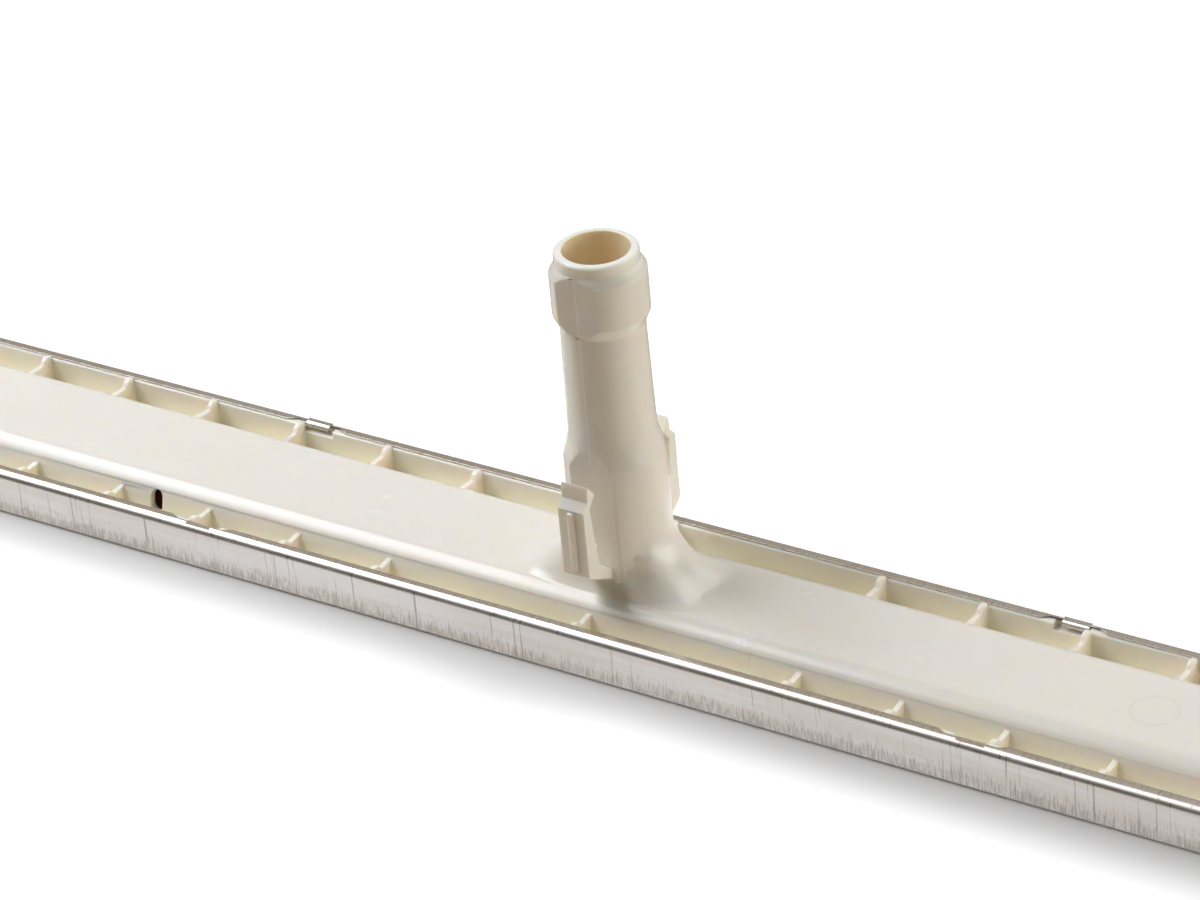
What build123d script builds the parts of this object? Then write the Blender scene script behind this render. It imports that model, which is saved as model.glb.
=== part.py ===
from build123d import *
from math import copysign, cos, hypot, radians, sin, sqrt, tan
import os

# Spray arm of a dishwasher, in millimetres. The arm lies on its pressed steel face with the feed tube upright.
# Origin: middle of the steel face, below the tube's axis. +X along the arm, +Z up along the tube.

# Outline of the arm, a long shape with full-round ends
ARM_LENGTH = 490.0
ARM_WIDTH = 56.0
RIM_HEIGHT = 12.2

# Pressed steel cover: a trough with its rim folded inwards
SHEET = 0.5
FLOOR_BEND = 1.6
LIP_BEND = 1.2
LIP_REACH = 3.2
SLOT_LENGTH = 9.0
SLOT_WIDTH = 2.6
SLOT_PITCH = 46.0
SLOT_FIRST = 40.0
SLOT_COUNT = 4
SLOT_OFFSET = 6.0
SLOT_TURN = 30.0

# Crimp tabs: the lip is notched away and a tongue of sheet is bent down into a pocket of the moulding
NOTCH_START = 98.0
NOTCH_LENGTH = 18.1
NOTCH_SLANT = 2.6
TAB_START = 103.7
TAB_LENGTH = 7.0
TAB_STRAIGHT = 0.2
TAB_INSET = 0.5
POCKET_START = 102.0
POCKET_DEPTH = 1.8
POCKET_CLEARANCE = 0.3

# Soft seal between the moulding's flange and the sheet
SEAL_HEIGHT = 1.0
SEAL_WIDTH = 4.0
SEAL_INSET = 1.8

# Moulding: tray with an outer wall, and the raised deck over the water channel
WALL = 2.0
RIM_WALL = 3.3
RIM_WALL_EDGE = 0.35
RIM_WALL_CORNER = 1.2
FLANGE = 2.0
DECK_TOP = 13.5
DECK_FOOT_WIDTH = 36.8
DECK_DRAFT = 12.0
SHOULDER_ROUND = 6.0

# Gusset ribs across the two grooves, each with a bevelled peg against the outer wall.
# The front row is lower, and the rear row, with its crimp tabs, lies a little off it along the arm.
RIB_FIRST = 57.25
RIB_PITCH = 27.0
RIB_THICKNESS = 1.4
RIB_TOP = 11.1
RIB_RISE = 0.4
FRONT_ROW_DROP = 1.1
REAR_ROW_SHIFT = -1.0
PEG_DEPTH = 2.2
PEG_NECK = 1.2
PEG_TOP = 12.6
PEG_EDGE = 0.6

# Feed tube, from the deck to the spigot on its top
TUBE_TOP = 100.0
BORE_RADIUS = 8.0
BORE_FOOT_RADIUS = 9.0
BORE_END = 52.0
BORE_CONE_END = 46.0
BORE_ENTRY_BEVEL = 3.0
SPIGOT_RADIUS = 10.0
SPIGOT_LENGTH = 3.0
SPIGOT_EDGE = 0.5
COLLAR_RADIUS = 11.45
COLLAR_TOP_BEVEL = 2.4
COLLAR_END = 84.0
COLLAR_BEVEL_END = 80.9
COLLAR_FLAT = 10.1
TUBE_NECK_RADIUS = 10.0
TUBE_WAIST_RADIUS = 10.5
STEP_START = 52.4
STEP_END = 46.2
TUBE_FOOT_RADIUS = 12.2
FOOT_FLAT = 10.7
FOOT_FLAT_TOP = 56.0

# Flared foot that blends the tube into the deck: wide along the arm, tight across it
FLARE_RADIUS = 16.0
SIDE_BLEND_RADIUS = 8.0
FLARE_SECTIONS = 9
FLARE_POINTS = 16
FLARE_POWER_TOP = 2.2
FLARE_POWER_FOOT = 4.4
FLARE_SINK = 0.12
SIDE_SINK = 0.4
BLEND_SINK = 0.12
FLARE_FOOT_SINK = 0.9

# Two snap clips beside the tube, moulded with it
CLIP_WIDTH = 7.3
CLIP_FOOT_TOP = 20.2
CLIP_FOOT_DEPTH = 2.8
CLIP_INNER = 16.5
CLIP_OUTER = 20.2
CLIP_BEND = 24.0
CLIP_STEP = 40.6
CLIP_TOP = 46.5
CLIP_HEAD_OUTER = 17.7
CLIP_NOSE = 15.0
CLIP_NOSE_HEIGHT = 43.3
CLIP_TOOTH_HEIGHT = 30.0
CLIP_TOOTH = 1.0
CLIP_BEAD_WIDTH = 1.5
CLIP_BEAD_HEIGHT = 0.7

# Drive jet hole in the deck's flank
JET_X = -127.5
JET_WIDTH = 3.6
JET_LOW = 5.6
JET_HIGH = 11.2

# Sizes that follow from those above
half_length = ARM_LENGTH / 2
half_width = ARM_WIDTH / 2
shell_half = half_width - SHEET
groove_outer = shell_half - RIM_WALL
flange_bottom = SHEET + SEAL_HEIGHT
groove_floor = flange_bottom + FLANGE
rim_wall_top = RIM_HEIGHT - SHEET
pocket_length = TAB_START + TAB_LENGTH + POCKET_CLEARANCE - POCKET_START
draft_slope = tan(radians(DECK_DRAFT))
deck_top_half = DECK_FOOT_WIDTH / 2 - (DECK_TOP - groove_floor) * draft_slope
shoulder_y = deck_top_half + SHOULDER_ROUND * (draft_slope - 1 / cos(radians(DECK_DRAFT)))
shoulder_z = DECK_TOP - SHOULDER_ROUND
bend_flat = 2 - sqrt(2)
flare_top = DECK_TOP + FLARE_RADIUS - FLARE_SINK
blend_reach = FOOT_FLAT + SIDE_BLEND_RADIUS - shoulder_y
blend_height = shoulder_z + sqrt((SHOULDER_ROUND + SIDE_BLEND_RADIUS) ** 2 - blend_reach**2) - BLEND_SINK
EPS = 0.01


def long_block(half, low, high, draft=0.0):
    """Block of the arm's outline, half as wide as stated, between two heights."""
    outline = SlotOverall(2 * (half_length - half_width + half), 2 * half)
    return extrude(Plane.XY.offset(low) * outline, high - low, taper=draft)


def edges_at(solid, half, height):
    """Edges of the arm's outline on a solid, at one width and height."""
    straight = half_length - half_width
    found = []
    for edge in solid.edges():
        point = edge.position_at(0.5)
        reach = hypot(max(abs(point.X) - straight, 0.0), point.Y)
        if abs(point.Z - height) < EPS and abs(reach - half) < EPS:
            found.append(edge)
    return found


def side_box(x_low, x_high, y_low, y_high, z_low, z_high, side):
    """Box given by its limits, with its Y limits on one side of the arm."""
    size = (x_high - x_low, y_high - y_low, z_high - z_low)
    middle = ((x_low + x_high) / 2, side * (y_low + y_high) / 2, (z_low + z_high) / 2)
    return Pos(*middle) * Box(*size)


def across(points, width, x, side):
    """Plate of one thickness at a place along the arm, from an outline of (distance from the middle, height)."""
    outline = make_face(Polyline([(0, side * y, z) for y, z in points], close=True))
    return Pos(x - width / 2, 0, 0) * extrude(outline, width, dir=(1, 0, 0))


def deck_block():
    """Raised deck with drafted flanks and round shoulders."""
    foot = DECK_FOOT_WIDTH / 2 + FLANGE * draft_slope
    block = long_block(foot, flange_bottom, DECK_TOP, DECK_DRAFT)
    return fillet(edges_at(block, deck_top_half, DECK_TOP), SHOULDER_ROUND)


def channel_block():
    """Water channel under the deck, one wall smaller than it, with flat shoulders."""
    foot = DECK_FOOT_WIDTH / 2 + FLANGE * draft_slope - WALL / cos(radians(DECK_DRAFT))
    top = DECK_TOP - WALL
    block = long_block(foot, flange_bottom, top, DECK_DRAFT)
    top_half = foot - (top - flange_bottom) * draft_slope
    return chamfer(edges_at(block, top_half, top), (SHOULDER_ROUND - WALL) * bend_flat)


def flare_section(height, along, across_half, power):
    """Face inside a closed curve between an ellipse and a box, at one height."""
    points = []
    for step in range(FLARE_POINTS):
        turn = radians(360.0 * step / FLARE_POINTS)
        x = along * copysign(abs(cos(turn)) ** (2 / power), cos(turn))
        y = across_half * copysign(abs(sin(turn)) ** (2 / power), sin(turn))
        points.append((x, y, height))
    return make_face(Spline(points, periodic=True))


def side_reach(height):
    """Half width of the flare across the arm: the flat of the tube, then an arc that meets the shoulder."""
    drop = max(blend_height - height, 0.0)
    return FOOT_FLAT - SIDE_SINK + SIDE_BLEND_RADIUS - sqrt(SIDE_BLEND_RADIUS**2 - drop**2)


def flared_foot():
    """Blend between the tube and the deck, lofted through sections that widen along an arc towards the deck."""
    sections = []
    for index in range(FLARE_SECTIONS):
        turn = radians(90.0 * index / (FLARE_SECTIONS - 1))
        height = flare_top - FLARE_RADIUS * sin(turn)
        along = TUBE_FOOT_RADIUS - FLARE_SINK + FLARE_RADIUS * (1 - cos(turn))
        power = FLARE_POWER_TOP + (FLARE_POWER_FOOT - FLARE_POWER_TOP) * sin(turn) ** 2
        sections.append(flare_section(height, along, side_reach(height), power))
    sunk = DECK_TOP - FLARE_FOOT_SINK
    shoulder_half = shoulder_y + sqrt(SHOULDER_ROUND**2 - (sunk - shoulder_z) ** 2)
    sections.append(flare_section(sunk, along + FLARE_SINK, shoulder_half - FLARE_FOOT_SINK / 2, power))
    return loft(sections)


def tube():
    """Outside of the feed tube, turned about its axis: foot, step, neck, collar and spigot."""
    spigot_foot = TUBE_TOP - SPIGOT_LENGTH
    barrel_line = Polyline(
        (TUBE_FOOT_RADIUS, groove_floor),
        (TUBE_FOOT_RADIUS, STEP_END),
        (TUBE_WAIST_RADIUS, STEP_START),
        (TUBE_NECK_RADIUS, COLLAR_BEVEL_END),
        (SPIGOT_RADIUS, spigot_foot),
        (SPIGOT_RADIUS, TUBE_TOP - SPIGOT_EDGE),
        (SPIGOT_RADIUS - SPIGOT_EDGE, TUBE_TOP),
        (0, TUBE_TOP),
        (0, groove_floor),
        close=True,
    )
    barrel = revolve(Plane.XZ * make_face(barrel_line), Axis.Z)
    for side in (-1, 1):
        barrel -= side_box(-TUBE_FOOT_RADIUS, TUBE_FOOT_RADIUS, FOOT_FLAT, 2 * FOOT_FLAT,
                           0, FOOT_FLAT_TOP, side)
    collar_line = Polyline(
        (0, COLLAR_BEVEL_END),
        (TUBE_NECK_RADIUS, COLLAR_BEVEL_END),
        (COLLAR_RADIUS, COLLAR_END),
        (COLLAR_RADIUS, spigot_foot - COLLAR_TOP_BEVEL),
        (SPIGOT_RADIUS, spigot_foot),
        (0, spigot_foot),
        close=True,
    )
    collar = revolve(Plane.XZ * make_face(collar_line), Axis.Z)
    collar &= Box(2 * COLLAR_RADIUS, 2 * COLLAR_FLAT, 3 * TUBE_TOP)
    return barrel + collar


def water_way():
    """Bore of the tube, turned: straight part, widening, and the bevelled entry from the channel."""
    ceiling = DECK_TOP - WALL
    entry = BORE_FOOT_RADIUS + BORE_ENTRY_BEVEL
    line = Polyline(
        (0, TUBE_TOP + 1),
        (BORE_RADIUS, TUBE_TOP + 1),
        (BORE_RADIUS, BORE_END),
        (BORE_FOOT_RADIUS, BORE_CONE_END),
        (BORE_FOOT_RADIUS, ceiling + BORE_ENTRY_BEVEL),
        (entry, ceiling),
        (entry, ceiling - 1),
        (0, ceiling - 1),
        close=True,
    )
    return revolve(Plane.XZ * make_face(line), Axis.Z)


def clip(side):
    """Snap clip on one side of the tube: slanted foot, upright arm and a nose that points at the tube."""
    root = FOOT_FLAT - WALL / 4
    outline = [
        (root, CLIP_FOOT_TOP - CLIP_FOOT_DEPTH),
        (CLIP_INNER + CLIP_FOOT_DEPTH / 3, CLIP_BEND - CLIP_FOOT_DEPTH),
        (CLIP_OUTER, CLIP_BEND - CLIP_FOOT_DEPTH / 3),
        (CLIP_OUTER, CLIP_STEP),
        (CLIP_HEAD_OUTER + CLIP_TOOTH / 2, CLIP_STEP + 2 * CLIP_TOOTH),
        (CLIP_HEAD_OUTER, CLIP_TOP),
        (CLIP_NOSE, CLIP_NOSE_HEIGHT),
        (CLIP_INNER + CLIP_TOOTH, CLIP_STEP),
        (CLIP_INNER, CLIP_TOOTH_HEIGHT + CLIP_TOOTH),
        (CLIP_INNER - CLIP_TOOTH, CLIP_TOOTH_HEIGHT),
        (CLIP_INNER - CLIP_TOOTH / 3, CLIP_TOOTH_HEIGHT - CLIP_TOOTH),
        (CLIP_INNER - CLIP_TOOTH, CLIP_BEND),
        (root, CLIP_FOOT_TOP),
    ]
    arm = across(outline, CLIP_WIDTH, 0, side)
    bead_low = CLIP_BEND
    bead = [
        (CLIP_OUTER - CLIP_BEAD_HEIGHT, bead_low),
        (CLIP_OUTER + CLIP_BEAD_HEIGHT, bead_low + CLIP_BEAD_HEIGHT),
        (CLIP_OUTER + CLIP_BEAD_HEIGHT, CLIP_STEP - CLIP_BEAD_HEIGHT),
        (CLIP_OUTER - CLIP_BEAD_HEIGHT, CLIP_STEP),
    ]
    return arm + across(bead, CLIP_BEAD_WIDTH, 0, side)


def rib_places():
    """Places of the ribs along the arm: one at the tube, then even steps on both wings."""
    last = half_length - half_width - RIB_THICKNESS
    places = [0.0]
    x = RIB_FIRST
    while x < last:
        places += [-x, x]
        x += RIB_PITCH
    return places


def row_shift(side):
    """How far one side's row of ribs and crimps lies off the other along the arm."""
    return REAR_ROW_SHIFT if side > 0 else 0.0


def rib(x, side):
    """Gusset rib between the deck's flank and the outer wall, with its peg."""
    drop = FRONT_ROW_DROP if side < 0 else 0.0
    deck_side = DECK_FOOT_WIDTH / 2 - SHOULDER_ROUND / 2
    peg_inner = groove_outer - PEG_DEPTH
    peg_outer = groove_outer + RIM_WALL_EDGE
    points = [
        (deck_side, groove_floor - FLANGE / 4),
        (peg_outer, groove_floor - FLANGE / 4),
        (peg_outer, PEG_TOP - drop),
        (peg_inner, PEG_TOP - drop),
        (peg_inner - PEG_NECK, RIB_TOP - drop),
        (deck_side, RIB_TOP + RIB_RISE - drop),
    ]
    plate = across(points, RIB_THICKNESS, x + row_shift(side), side)
    crown = plate.edges().filter_by(Axis.X).group_by(Axis.Z)[-1]
    return chamfer(crown, PEG_EDGE)


def crimp_sides():
    """Both wings and both sides of the arm."""
    return [(wing, side) for wing in (-1, 1) for side in (-1, 1)]


def along_limits(start, length, wing, side):
    """Lower and upper X of a stretch that starts at a distance from the tube, on one wing and side."""
    ends = (wing * start + row_shift(side), wing * (start + length) + row_shift(side))
    return min(ends), max(ends)


def arm_shell():
    """The plastic moulding."""
    shell = long_block(shell_half, flange_bottom, rim_wall_top)
    shell = chamfer(edges_at(shell, shell_half, flange_bottom), FLOOR_BEND)
    shell = chamfer(edges_at(shell, shell_half, rim_wall_top), RIM_WALL_CORNER)
    shell -= long_block(groove_outer, groove_floor, rim_wall_top + 1)
    shell = chamfer(edges_at(shell, groove_outer, rim_wall_top), RIM_WALL_EDGE)
    for wing, side in crimp_sides():
        x_low, x_high = along_limits(POCKET_START, pocket_length, wing, side)
        pocket_back = half_width - LIP_BEND - TAB_INSET + POCKET_CLEARANCE
        pocket_floor = rim_wall_top - POCKET_DEPTH
        shell -= side_box(x_low, x_high, groove_outer - 1, pocket_back, pocket_floor, rim_wall_top + 1, side)
    shell += deck_block()
    shell += flared_foot()
    for x in rib_places():
        shell += [rib(x, -1), rib(x, 1)]
    shell += tube()
    shell += [clip(-1), clip(1)]
    shell -= channel_block()
    shell -= water_way()
    jet_centre = (JET_X, -DECK_FOOT_WIDTH / 2, (JET_LOW + JET_HIGH) / 2)
    jet_plane = Plane(origin=jet_centre, x_dir=(0, 0, 1), z_dir=(0, 1, 0))
    shell -= extrude(jet_plane * SlotOverall(JET_HIGH - JET_LOW, JET_WIDTH), SHOULDER_ROUND + WALL, both=True)
    return shell


def crimp_tab(wing, side):
    """Tongue of sheet that curls over the bend and points down into its pocket."""
    root = half_width - LIP_BEND
    bend = root - TAB_INSET
    bend_height = RIM_HEIGHT - LIP_BEND
    tip = bend_height - TAB_STRAIGHT
    face_outer = bend - LIP_BEND
    face_inner = face_outer + SHEET
    outer = [(root + SHEET, RIM_HEIGHT), (bend, RIM_HEIGHT), (face_outer, bend_height), (face_outer, tip)]
    inner = [(face_inner, tip), (face_inner, bend_height), (bend, rim_wall_top), (root + SHEET, rim_wall_top)]
    swing = LIP_BEND * sqrt(0.5)
    swing_inner = (LIP_BEND - SHEET) * sqrt(0.5)
    line = Polyline(outer[0], outer[1])
    line += ThreePointArc(outer[1], (bend - swing, bend_height + swing), outer[2])
    line += Polyline(outer[2], outer[3], inner[0], inner[1])
    line += ThreePointArc(inner[1], (bend - swing_inner, bend_height + swing_inner), inner[2])
    line += Polyline(inner[2], inner[3], outer[0])
    x_low, x_high = along_limits(TAB_START, TAB_LENGTH, wing, side)
    tab = extrude(Plane.YZ * make_face(line), x_high - x_low)
    if side < 0:
        tab = mirror(tab, Plane.XZ)
    return Pos(x_low, 0, 0) * tab


def lip_notch(wing, side):
    """Piece of the lip that is cut away round a tab, with slanted ends."""
    x_low, x_high = along_limits(NOTCH_START, NOTCH_LENGTH, wing, side)
    inner = half_width - LIP_REACH - 1
    outer = half_width - LIP_BEND
    outline = Polyline(
        (x_low, side * inner),
        (x_high, side * inner),
        (x_high, side * (half_width - LIP_REACH)),
        (x_high - NOTCH_SLANT, side * outer),
        (x_low + NOTCH_SLANT, side * outer),
        (x_low, side * (half_width - LIP_REACH)),
        close=True,
    )
    return extrude(Plane.XY.offset(rim_wall_top - EPS) * make_face(outline), 2 * SHEET, dir=(0, 0, 1))


def spray_slots():
    """Punched spray slots, in even steps along both wings, to one side and the other in turn."""
    slots = []
    for wing in (-1, 1):
        for step in range(SLOT_COUNT):
            turn = 1 if step % 2 else -1
            place = Pos(wing * (SLOT_FIRST + step * SLOT_PITCH), wing * turn * SLOT_OFFSET)
            outline = place * Rot(0, 0, turn * SLOT_TURN) * Rectangle(SLOT_LENGTH, SLOT_WIDTH)
            slots.append(extrude(outline, 2 * SHEET, both=True))
    return slots


def steel_cover():
    """The pressed sheet: trough, folded lip, crimp tabs and spray slots."""
    cover = long_block(half_width, 0, RIM_HEIGHT)
    cover = chamfer(edges_at(cover, half_width, 0), FLOOR_BEND * bend_flat)
    cover = fillet(edges_at(cover, half_width, RIM_HEIGHT), LIP_BEND)
    inside = long_block(shell_half, SHEET, rim_wall_top)
    inside = chamfer(edges_at(inside, shell_half, SHEET), (FLOOR_BEND - SHEET) * bend_flat)
    inside = chamfer(edges_at(inside, shell_half, rim_wall_top), (LIP_BEND - SHEET) * bend_flat)
    cover -= inside
    cover -= long_block(half_width - LIP_REACH, rim_wall_top - 1, RIM_HEIGHT + 1)
    for wing, side in crimp_sides():
        cover -= lip_notch(wing, side)
        cover += crimp_tab(wing, side)
    cover -= spray_slots()
    return cover


def rim_seal():
    """The soft ring under the moulding's flange."""
    outer = shell_half - SEAL_INSET
    ring = long_block(outer, SHEET, flange_bottom)
    return ring - long_block(outer - SEAL_WIDTH, SHEET, flange_bottom)


os.makedirs("parts", exist_ok=True)
export_step(arm_shell(), "parts/arm_shell.step")
export_step(steel_cover(), "parts/steel_cover.step")
export_step(rim_seal(), "parts/rim_seal.step")
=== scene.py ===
import math

import bmesh
import bpy
from mathutils import Matrix, Vector


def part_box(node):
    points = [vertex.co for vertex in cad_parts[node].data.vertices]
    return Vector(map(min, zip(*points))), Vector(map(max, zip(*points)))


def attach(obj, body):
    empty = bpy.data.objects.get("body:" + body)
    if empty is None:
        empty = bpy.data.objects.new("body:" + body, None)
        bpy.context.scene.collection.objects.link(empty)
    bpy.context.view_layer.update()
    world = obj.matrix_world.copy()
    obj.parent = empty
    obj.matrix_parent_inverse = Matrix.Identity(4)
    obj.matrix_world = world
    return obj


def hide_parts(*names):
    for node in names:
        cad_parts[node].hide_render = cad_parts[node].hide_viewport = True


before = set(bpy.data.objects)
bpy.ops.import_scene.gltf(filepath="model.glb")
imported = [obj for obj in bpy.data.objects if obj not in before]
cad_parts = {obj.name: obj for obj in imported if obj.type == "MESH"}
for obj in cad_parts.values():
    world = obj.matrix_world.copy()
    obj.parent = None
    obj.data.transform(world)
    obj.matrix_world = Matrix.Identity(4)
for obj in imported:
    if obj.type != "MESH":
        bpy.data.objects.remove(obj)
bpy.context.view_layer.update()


# Its colour also holds painted light: warmer, brighter tones in the grooves, the bore and the spigot stand in
# for light bounced about and passed through the plastic.
# Moulding: the cream body with its deck, ribs, feed tube and snap clips, one injection-moulded piece.
# Semi-gloss plastic a few millimetres thick, which lets some light through, with faint marks of its mould.
# It is pressed into the steel cover and held there by the crimped lip.

SHELL_SEAM = math.radians(24)
SHELL_EDGE = 0.00022

WELD_DISTANCE = 2e-6
SPECK = 1e-6
SLIVER = 0.00006
SAME_PLANE = math.radians(0.3)
ANY_SHAPE = math.radians(180)
SHADING_MARGIN = math.radians(25)
FACING_DOWN = -0.99999
LARGE_FACE_WEIGHT = 60


def turned(edge):
    """The angle across an edge, or none beside a face too thin to have a sure direction."""
    thin = [face for face in edge.link_faces
            if 2 * face.calc_area() < SLIVER * max(side.calc_length() for side in face.edges)]
    return edge.calc_face_angle() if edge.is_manifold and not thin else 0.0


def merged_copy(node, name, seam, soft_edge, reshape=None):
    """A copy of a CAD node with its level triangles joined in pairs and its sharp edges rounded."""
    work = bmesh.new()
    work.from_mesh(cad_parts[node].data)
    bmesh.ops.remove_doubles(work, verts=work.verts, dist=WELD_DISTANCE)
    bmesh.ops.dissolve_degenerate(work, edges=work.edges, dist=SPECK)
    if reshape:
        reshape(work)
    bmesh.ops.join_triangles(work, faces=work.faces, angle_face_threshold=SAME_PLANE,
                             angle_shape_threshold=ANY_SHAPE)
    sharp = [edge for edge in work.edges if turned(edge) > seam]
    bmesh.ops.bevel(work, geom=sharp, offset=soft_edge, offset_type="OFFSET", segments=2, profile=0.5,
                    affect="EDGES", material=-1, clamp_overlap=False)
    for face in work.faces:
        face.smooth = True
    for edge in work.edges:
        undersides = {face.normal.z < FACING_DOWN for face in edge.link_faces}
        edge.smooth = turned(edge) < seam + SHADING_MARGIN and len(undersides) == 1
    mesh = bpy.data.meshes.new(name)
    work.to_mesh(mesh)
    work.free()
    piece = bpy.data.objects.new(name, mesh)
    bpy.context.scene.collection.objects.link(piece)
    weighted = piece.modifiers.new("even_shading", "WEIGHTED_NORMAL")
    weighted.keep_sharp = True
    weighted.weight = LARGE_FACE_WEIGHT
    return piece


class Shade:
    """A socket of a material's nodes. Sums and products of sockets add Math nodes."""

    def __init__(self, tree, socket=None):
        self.tree = tree
        self.socket = socket

    def add(self, kind, settings=None, out=0, **values):
        """A new node: its settings first, then the values or links of its sockets, by name or as inNUMBER."""
        node = self.tree.nodes.new(kind)
        for key, value in (settings or {}).items():
            setattr(node, key, value)
        for key, value in values.items():
            socket = node.inputs[int(key[2:]) if key.startswith("in") else key.replace("_", " ")]
            if isinstance(value, Shade):
                self.tree.links.new(value.socket, socket)
            else:
                socket.default_value = value
        return Shade(self.tree, node.outputs[out])

    def math(self, operation, *others):
        """A Math node of this socket and the others."""
        values = {f"in{index}": value for index, value in enumerate((self,) + others)}
        return self.add("ShaderNodeMath", {"operation": operation}, **values)

    def __add__(self, other):
        return self.math("ADD", other)

    def __sub__(self, other):
        return self.math("SUBTRACT", other)

    def __rsub__(self, other):
        return self.add("ShaderNodeMath", {"operation": "SUBTRACT"}, in0=other, in1=self)

    def __mul__(self, other):
        return self.math("MULTIPLY", other)

    __radd__ = __add__
    __rmul__ = __mul__

    def band(self, low, high):
        """Smooth step from 0 at one value to 1 at another."""
        return self.add("ShaderNodeMapRange", {"interpolation_type": "SMOOTHSTEP"},
                        Value=self, From_Min=low, From_Max=high)

    def mix(self, first, second):
        """A colour between two, with this share of the second."""
        return self.add("ShaderNodeMix", {"data_type": "RGBA"}, out=2, in0=self, in6=first, in7=second)

    def tint(self, other, share):
        """This colour with a share of another laid over it."""
        return share.mix(self, other)

    def feed(self, shader, name):
        """Link this socket to an input of a shader."""
        self.tree.links.new(self.socket, shader.inputs[name])


def new_material(name):
    """A node material, with the start of its nodes and its main shader."""
    material = bpy.data.materials.new(name)
    material.use_nodes = True
    return material, Shade(material.node_tree), material.node_tree.nodes["Principled BSDF"]


CREAM_DEEP = (0.885, 0.84, 0.74, 1)
CREAM_PALE = (0.895, 0.855, 0.765, 1)
# Painted light: the groove tone is a brighter, warmer cream that stands in for light bounced about in the
# grooves and passed through their thin walls.
GROOVE_PAINTED_GLOW = (0.985, 0.91, 0.75, 1)
# Painted light: the bore tone is a bright orange-tan glow that stands in for light passed through the tube's
# wall into the bore.
BORE_PAINTED_GLOW = (1.0, 0.80, 0.51, 1)
# Painted light: the spigot tone is a lighter cream that stands in for light passing through the thin spigot.
SPIGOT_PAINTED_GLOW = (0.98, 0.94, 0.82, 1)
MARK_TONE = (0.66, 0.61, 0.53, 1)
PARTING_TONE = (1.0, 0.99, 0.96, 1)
SCUFF_TONE = (0.99, 0.99, 0.985, 1)

BORE_WALL = (0.0078, 0.0084)
BORE_FOOT = (0.020, 0.030)
GROOVE_HEIGHT = (0.0055, 0.0125)
GROOVE_SIDE = (0.0135, 0.0165)
SPIGOT_FOOT = (0.0955, 0.0965)
PARTING_WIDTH = (0.00010, 0.00028)
PARTING_FOOT = (0.0480, 0.0490)
PIN_MARK = (0.1395, 0.0, 0.0135)
PIN_RADIUS = 0.0056
PIN_WIDTH = (0.00010, 0.00035)
WITNESS_ALONG = 0.0438
WITNESS_WIDTH = (0.00006, 0.00022)
WITNESS_FOOT = (0.0070, 0.0080)
WITNESS_SIDE = (-0.0150, -0.0130)
SCUFF_AT = (0.0405, -0.0146, 0.0131)
SCUFF_SIZE = 0.0034
SCUFF_FADE = 0.22
SCUFF_GRAIN = (0.40, 0.46)

moulding = merged_copy("arm_shell", "moulding", SHELL_SEAM, SHELL_EDGE)
cream, nodes, cream_shader = new_material("cream_plastic")
place = nodes.add("ShaderNodeTexCoord", out="Object")
along = nodes.add("ShaderNodeSeparateXYZ", out="X", Vector=place)
across = nodes.add("ShaderNodeSeparateXYZ", out="Y", Vector=place)
height = nodes.add("ShaderNodeSeparateXYZ", out="Z", Vector=place)
cloud = nodes.add("ShaderNodeTexNoise", Vector=place, Scale=38.0, Detail=3.0)
grain = nodes.add("ShaderNodeTexNoise", Vector=place, Scale=2600.0, Detail=2.0)
speckle = nodes.add("ShaderNodeTexNoise", Vector=place, Scale=2400.0, Detail=3.0)
from_pin = nodes.add("ShaderNodeVectorMath", {"operation": "DISTANCE"}, out="Value",
                     Vector=place, in1=PIN_MARK)
from_scuff = nodes.add("ShaderNodeVectorMath", {"operation": "DISTANCE"}, out="Value",
                       Vector=place, in1=SCUFF_AT)
from_axis = (along * along + across * across).math("SQRT")
bore_glow_mask = (1 - from_axis.band(*BORE_WALL)) * height.band(*BORE_FOOT)
groove_glow_mask = (1 - height.band(*GROOVE_HEIGHT)) * across.math("ABSOLUTE").band(*GROOVE_SIDE)
spigot_glow_mask = height.band(*SPIGOT_FOOT) * (1 - bore_glow_mask)
parting = (1 - along.math("ABSOLUTE").band(*PARTING_WIDTH)) * height.band(*PARTING_FOOT)
pin_ring = 1 - (from_pin - PIN_RADIUS).math("ABSOLUTE").band(*PIN_WIDTH)
witness = 1 - (along - WITNESS_ALONG).math("ABSOLUTE").band(*WITNESS_WIDTH)
witness = witness * height.band(*WITNESS_FOOT) * (1 - across.band(*WITNESS_SIDE))
scuff = (speckle - from_scuff * (SCUFF_FADE / SCUFF_SIZE)).band(*SCUFF_GRAIN)
base = cloud.band(0.3, 0.7).mix(CREAM_DEEP, CREAM_PALE)
# Painted light in the grooves: the cream is brightened and warmed there for bounced and passed-through light.
base = base.tint(GROOVE_PAINTED_GLOW, 0.9 * groove_glow_mask)
# Painted glow in the bore, for light that comes in through the tube's wall.
base = base.tint(BORE_PAINTED_GLOW, bore_glow_mask)
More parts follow.
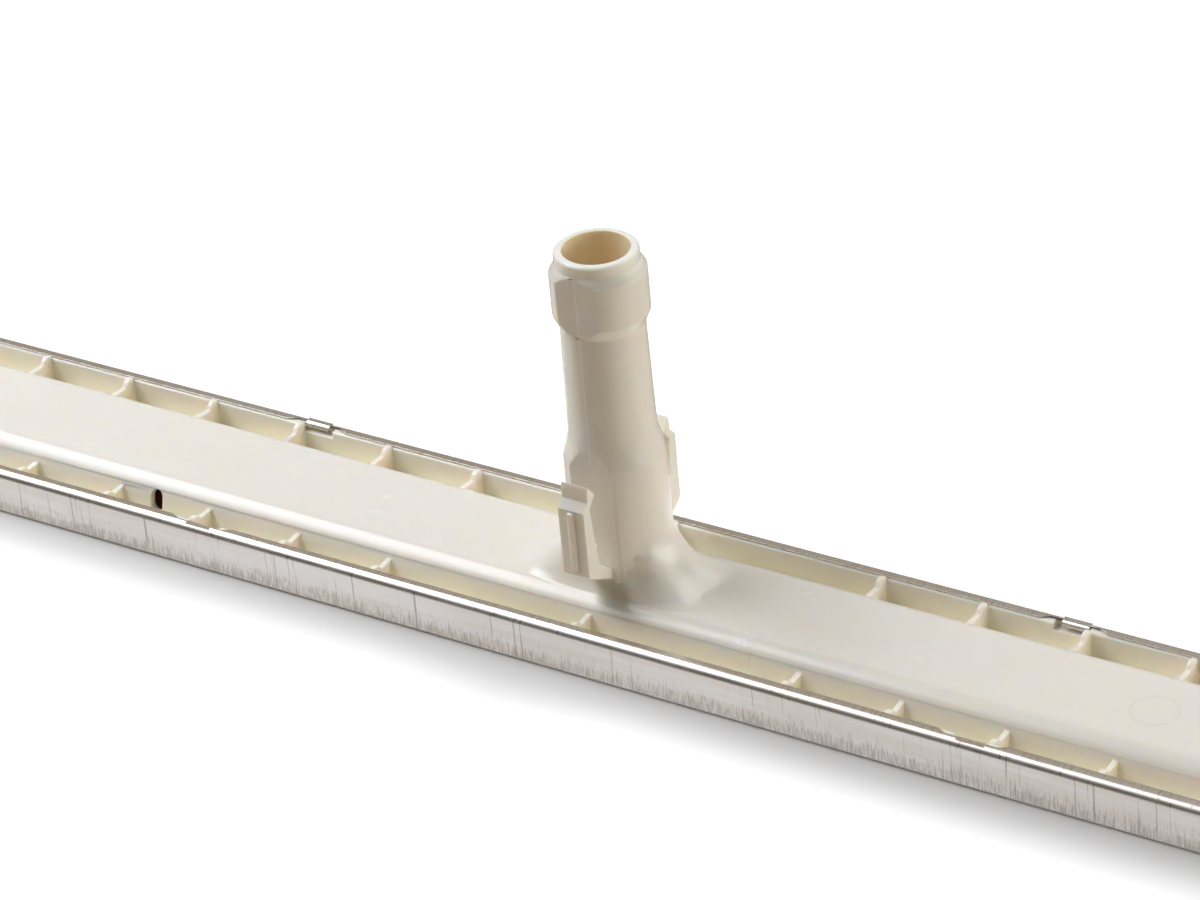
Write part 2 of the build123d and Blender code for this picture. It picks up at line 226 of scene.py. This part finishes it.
# Painted glow on the spigot, for light that comes through it.
base = base.tint(SPIGOT_PAINTED_GLOW, spigot_glow_mask)
base = base.tint(MARK_TONE, 0.30 * witness + 0.22 * pin_ring)
base = base.tint(PARTING_TONE, 0.75 * parting * (1 - bore_glow_mask))
base = base.tint(SCUFF_TONE, 0.8 * scuff)
rough = 0.23 + 0.06 * cloud
relief = grain + 8.0 * parting - 3.0 * pin_ring - 3.0 * witness + 6.0 * scuff
bump = nodes.add("ShaderNodeBump", Strength=0.04, Distance=0.00005, Height=relief)
base.feed(cream_shader, "Base Color")
rough.feed(cream_shader, "Roughness")
bump.feed(cream_shader, "Normal")
cream_shader.inputs["IOR"].default_value = 1.48
cream_shader.inputs["Subsurface Weight"].default_value = 1.0
cream_shader.inputs["Subsurface Radius"].default_value = (1.0, 0.75, 0.5)
cream_shader.inputs["Subsurface Scale"].default_value = 0.0012
moulding.data.materials.append(cream)
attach(moulding, "root")
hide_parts("arm_shell")


# Steel cover: thin stainless sheet pressed into a trough, its rim folded in over the moulding's wall.
# Drawn bright, with upright scratches on the wall from the press and fine lines across the fold.
# Four tongues of the rim are curled down into pockets of the moulding.

COVER_SEAM = math.radians(50)
COVER_EDGE = 0.00005
CAD_BEND = 0.0012
SEEN_BEND = 0.0020
BEND_START = -1e-5
ON_BEND = 4e-5


def roll_lip(work):
    """Give the fold of the rim its wider bend, with the wall and the lip's flat in place."""
    low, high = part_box("steel_cover")
    half_width = (high[1] - low[1]) / 2
    spine = (high[0] - low[0]) / 2 - half_width
    for vertex in work.verts:
        foot = Vector((max(-spine, min(spine, vertex.co.x)), 0, 0))
        outward = Vector((vertex.co.x, vertex.co.y, 0)) - foot
        across = outward.length - (half_width - CAD_BEND)
        upward = vertex.co.z - (high[2] - CAD_BEND)
        off_bend = abs(math.hypot(across, upward) - CAD_BEND)
        if across > BEND_START and upward > BEND_START and off_bend < ON_BEND:
            turn = math.atan2(upward, across)
            outward.length = half_width - SEEN_BEND + SEEN_BEND * math.cos(turn)
            vertex.co = foot + outward
            vertex.co.z = high[2] - SEEN_BEND + SEEN_BEND * math.sin(turn)


STEEL_WARM = (0.60, 0.555, 0.515, 1)
STEEL_GREY = (0.63, 0.61, 0.59, 1)
SCRATCH_TONE = (0.20, 0.17, 0.14, 1)
DRAG_TONE = (0.30, 0.265, 0.23, 1)
LINE_TONE = (0.42, 0.38, 0.33, 1)

LIP_FOOT = (0.01185, 0.01215)
DRAG_HEIGHT = (0.0010, 0.0085)

cover = merged_copy("steel_cover", "pressed_cover", COVER_SEAM, COVER_EDGE, roll_lip)
steel, nodes, steel_shader = new_material("stainless_sheet")
place = nodes.add("ShaderNodeTexCoord", out="Object")
height = nodes.add("ShaderNodeSeparateXYZ", out="Z", Vector=place)
upright = nodes.add("ShaderNodeMapping", Vector=place, Scale=(1, 1, 0.02))
leaning = nodes.add("ShaderNodeMapping", Vector=place, Scale=(1, 1, 0.10))
level = nodes.add("ShaderNodeMapping", Vector=place, Scale=(0.05, 0.05, 1))
crosswise = nodes.add("ShaderNodeMapping", Vector=place, Scale=(1, 0.06, 0.06))
scratches = nodes.add("ShaderNodeTexNoise", Vector=upright, Scale=1100.0, Detail=2.0)
strokes = nodes.add("ShaderNodeTexNoise", Vector=leaning, Scale=3800.0, Detail=3.0)
bands = nodes.add("ShaderNodeTexNoise", Vector=level, Scale=420.0, Detail=3.0)
patches = nodes.add("ShaderNodeTexNoise", Vector=place, Scale=160.0, Detail=4.0)
hatch = nodes.add("ShaderNodeTexNoise", Vector=crosswise, Scale=2800.0, Detail=2.0)
on_lip = height.band(*LIP_FOOT)
on_wall = 1 - on_lip
low_part = 1 - height.band(*DRAG_HEIGHT)
scratch = scratches.band(0.63, 0.68) * on_wall
drag = (strokes + 0.30 * low_part + 0.14 * patches).band(0.72, 0.96) * on_wall
lines = hatch.band(0.50, 0.70) * on_lip
base = bands.band(0.38, 0.62).mix(STEEL_WARM, STEEL_GREY)
base = base.tint(SCRATCH_TONE, 0.55 * scratch)
base = base.tint(DRAG_TONE, 0.55 * drag)
base = base.tint(LINE_TONE, 0.60 * lines)
rough = 0.17 + 0.10 * patches + 0.14 * on_wall + 0.15 * drag
relief = strokes * on_wall + hatch * on_lip
bump = nodes.add("ShaderNodeBump", Strength=0.10, Distance=0.00003, Height=relief)
base.feed(steel_shader, "Base Color")
rough.feed(steel_shader, "Roughness")
bump.feed(steel_shader, "Normal")
steel_shader.inputs["Metallic"].default_value = 1.0
cover.data.materials.append(steel)
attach(cover, "root")
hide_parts("steel_cover")


# Rim seal: the soft ring pinched between the moulding's flange and the sheet, hidden inside the rim.
# Matte grey-beige rubber, cut from sheet and laid in before the rim is folded.

RUBBER_DARK = (0.30, 0.29, 0.26, 1)
RUBBER_LIGHT = (0.40, 0.385, 0.35, 1)

seal_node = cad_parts["rim_seal"]
rubber, nodes, rubber_shader = new_material("soft_seal")
place = nodes.add("ShaderNodeTexCoord", out="Object")
pores = nodes.add("ShaderNodeTexNoise", Vector=place, Scale=700.0, Detail=3.0)
base = pores.mix(RUBBER_DARK, RUBBER_LIGHT)
rough = 0.6 + 0.2 * pores
base.feed(rubber_shader, "Base Color")
rough.feed(rubber_shader, "Roughness")
seal_node.data.materials.clear()
seal_node.data.materials.append(rubber)


# Studio: a pale floor that keeps the arm's shadow, white surroundings and three soft lights.
# The floor's glow to the camera is painted darker near the arm, a painted shadow over its real one, and its
# part beside the arm glows in reflections only, a painted light mirrored in the steel wall.

FLOOR_HALF = 6.0
ARM_SPINE = 0.217
SHADOW_EDGE = (0.029, 0.051)
FAR_FLOOR = (0.4, 1.6)
SHEET_EDGE = (0.055, 0.085)

BLACK = (0, 0, 0, 1)
WHITE = (1, 1, 1, 1)
FLOOR_WARM = (0.60, 0.52, 0.40, 1)
FLOOR_PALE = (0.79, 0.78, 0.745, 1)
FLOOR_DARK = (0.12, 0.11, 0.09, 1)

work = bmesh.new()
bmesh.ops.create_grid(work, x_segments=1, y_segments=1, size=FLOOR_HALF)
floor_mesh = bpy.data.meshes.new("floor")
work.to_mesh(floor_mesh)
work.free()
floor = bpy.data.objects.new("floor", floor_mesh)
bpy.context.scene.collection.objects.link(floor)
pale, nodes, pale_shader = new_material("pale_floor")
seen = nodes.add("ShaderNodeLightPath", out="Is Camera Ray")
mirrored = nodes.add("ShaderNodeLightPath", out="Is Glossy Ray")
place = nodes.add("ShaderNodeTexCoord", out="Object")
along = nodes.add("ShaderNodeSeparateXYZ", out="X", Vector=place)
across = nodes.add("ShaderNodeSeparateXYZ", out="Y", Vector=place)
beyond = (along.math("ABSOLUTE") - ARM_SPINE).math("MAXIMUM", 0.0)
aside = (beyond * beyond + across * across).math("SQRT")
sheet = 1 - aside.band(*SHEET_EDGE)
paint = seen.math("MAXIMUM", mirrored).mix(FLOOR_WARM, FLOOR_PALE)
# In reflections the floor is painted dark away from the arm.
paint = paint.tint(FLOOR_DARK, mirrored * (1 - sheet))
# Painted shadow: the glow the camera sees is weaker near the arm, darkening the floor beside it over its real
# shadow; the floor beside the arm glows in reflections only, a painted light for the steel wall.
glow_with_painted_shadow = 0.03 + 0.45 * aside.band(*SHADOW_EDGE) + 0.5 * aside.band(*FAR_FLOOR)
glow = (seen * glow_with_painted_shadow + 0.40 * mirrored * sheet).mix(BLACK, WHITE)
paint.feed(pale_shader, "Base Color")
glow.feed(pale_shader, "Emission Color")
pale_shader.inputs["Roughness"].default_value = 0.8
pale_shader.inputs["Specular IOR Level"].default_value = 0.0
pale_shader.inputs["Emission Strength"].default_value = 1.0
floor.data.materials.append(pale)

FILL_TONE = (0.04, 0.034, 0.022, 1)
BACK_WALL = (0.52, 0.47, 0.40, 1)
FRONT_WALL = (0.08, 0.068, 0.045, 1)
CEILING_TONE = (1.0, 0.99, 0.97, 1)

world = bpy.data.worlds.new("studio")
bpy.context.scene.world = world
world.use_nodes = True
nodes = Shade(world.node_tree)
background = world.node_tree.nodes["Background"]
seen = nodes.add("ShaderNodeLightPath", out="Is Camera Ray")
mirrored = nodes.add("ShaderNodeLightPath", out="Is Glossy Ray")
toward = nodes.add("ShaderNodeTexCoord", out=0)
depth = nodes.add("ShaderNodeSeparateXYZ", out="Y", Vector=toward)
upward = nodes.add("ShaderNodeSeparateXYZ", out="Z", Vector=toward)
front = 1 - depth.band(-0.75, 0.0)
ceiling = upward.band(0.54, 0.66) * (1 - depth.band(0.02, 0.20))
room = front.mix(BACK_WALL, FRONT_WALL).tint(CEILING_TONE, ceiling)
surround = mirrored.mix(FILL_TONE, room).tint(WHITE, seen)
surround.feed(background, "Color")
background.inputs["Strength"].default_value = 1.0


def soft_light(name, at, aim, wide, tall, power, colour):
    """A rectangular studio light that points at a place on the arm."""
    lamp = bpy.data.lights.new(name, "AREA")
    lamp.color = colour
    lamp.shape = "RECTANGLE"
    lamp.size = wide
    lamp.size_y = tall
    lamp.energy = power
    holder = bpy.data.objects.new(name, lamp)
    bpy.context.scene.collection.objects.link(holder)
    turn = (Vector(aim) - Vector(at)).to_track_quat("-Z", "Y")
    holder.matrix_world = Matrix.LocRotScale(Vector(at), turn, None)


COOL_LIGHT = (0.98, 1.0, 1.085)
WARM_LIGHT = (1.0, 0.985, 0.965)

soft_light("key_light", at=(-0.90, -0.16, 1.14), aim=(0, 0, 0), wide=1.0, tall=0.62,
           power=17.0, colour=COOL_LIGHT)
soft_light("back_light", at=(0.28, 0.97, 1.24), aim=(0, 0, 0), wide=0.9, tall=1.1,
           power=9.0, colour=COOL_LIGHT)
soft_light("right_light", at=(1.0, 0.25, 0.17), aim=(0, 0, 0.05), wide=1.0, tall=0.4,
           power=5.8, colour=WARM_LIGHT)


# Camera at the photograph's view.

VIEW_RIGHT = (0.84088, 0.53495, -0.08216)
VIEW_UP = (-0.21677, 0.47198, 0.85455)
VIEW_BACK = (0.49592, -0.70077, 0.51284)
VIEW_PLACE = (0.55996, -0.79728, 0.62844)
FOCAL_LENGTH = 145.98
SENSOR_WIDTH = 36.0

lens = bpy.data.cameras.new("photo_view")
lens.sensor_width = SENSOR_WIDTH
lens.lens = FOCAL_LENGTH
lens.clip_start = 0.01
camera = bpy.data.objects.new("photo_view", lens)
bpy.context.scene.collection.objects.link(camera)
turn = Matrix((VIEW_RIGHT, VIEW_UP, VIEW_BACK)).transposed().to_4x4()
camera.matrix_world = Matrix.Translation(VIEW_PLACE) @ turn
bpy.context.scene.camera = camera
bpy.context.scene.view_settings.view_transform = "Standard"
